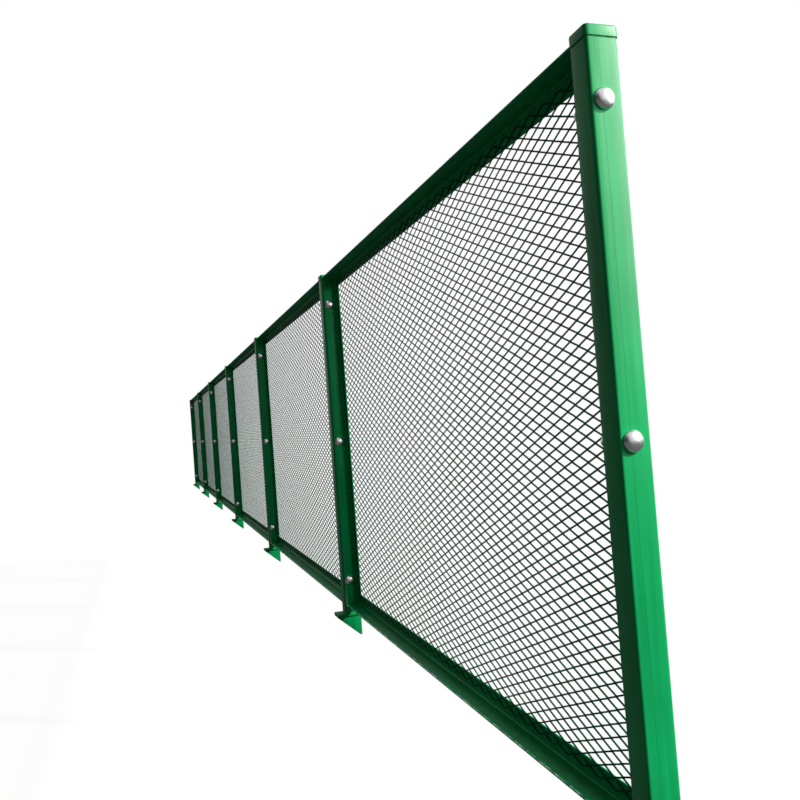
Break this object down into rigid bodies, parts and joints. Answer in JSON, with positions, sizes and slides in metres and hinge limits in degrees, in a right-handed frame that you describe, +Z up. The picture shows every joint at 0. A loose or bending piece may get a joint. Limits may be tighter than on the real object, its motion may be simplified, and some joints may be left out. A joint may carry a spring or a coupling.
{
  "type": "anti-glare screen",
  "caption": "Run of expanded metal panels in angle frames, bolted side by side between rectangular posts on cantilever brackets, to shade traffic from glare.",
  "frame": {"origin": "centre of the rear face of the middle bracket's back plate, where the run is bolted on", "axes": "X along the run of panels, +Y back through the mesh into the structure that carries it, +Z up"},
  "size_m": [12.089, 0.097, 1.4565],
  "materials": {
    "post_paint": "satin green powder coat",
    "frame_paint": "satin green powder coat with small chips",
    "mesh_paint": "dipped green coating on expanded steel",
    "bracket_paint": "satin green powder coat over welds",
    "bolt_steel": "bright zinc plated steel"
  },
  "bodies": {
    "root": {"bracket_1": "bracket_paint", "post_1": "post_paint", "cap_1": "post_paint", "bolts_1": "bolt_steel", "bracket_2": "bracket_paint", "post_2": "post_paint", "cap_2": "post_paint", "bolts_2": "bolt_steel", "bracket_3": "bracket_paint", "post_3": "post_paint", "cap_3": "post_paint", "bolts_3": "bolt_steel", "bracket_4": "bracket_paint", "post_4": "post_paint", "cap_4": "post_paint", "bolts_4": "bolt_steel", "bracket_5": "bracket_paint", "post_5": "post_paint", "cap_5": "post_paint", "bolts_5": "bolt_steel", "bracket_6": "bracket_paint", "post_6": "post_paint", "cap_6": "post_paint", "bolts_6": "bolt_steel", "bracket_7": "bracket_paint", "post_7": "post_paint", "cap_7": "post_paint", "bolts_7": "bolt_steel", "frame_1": "frame_paint", "mesh_1": "mesh_paint", "frame_2": "frame_paint", "mesh_2": "mesh_paint", "frame_3": "frame_paint", "mesh_3": "mesh_paint", "frame_4": "frame_paint", "mesh_4": "mesh_paint", "frame_5": "frame_paint", "mesh_5": "mesh_paint", "frame_6": "frame_paint", "mesh_6": "mesh_paint"}
  },
  "joints": []
}
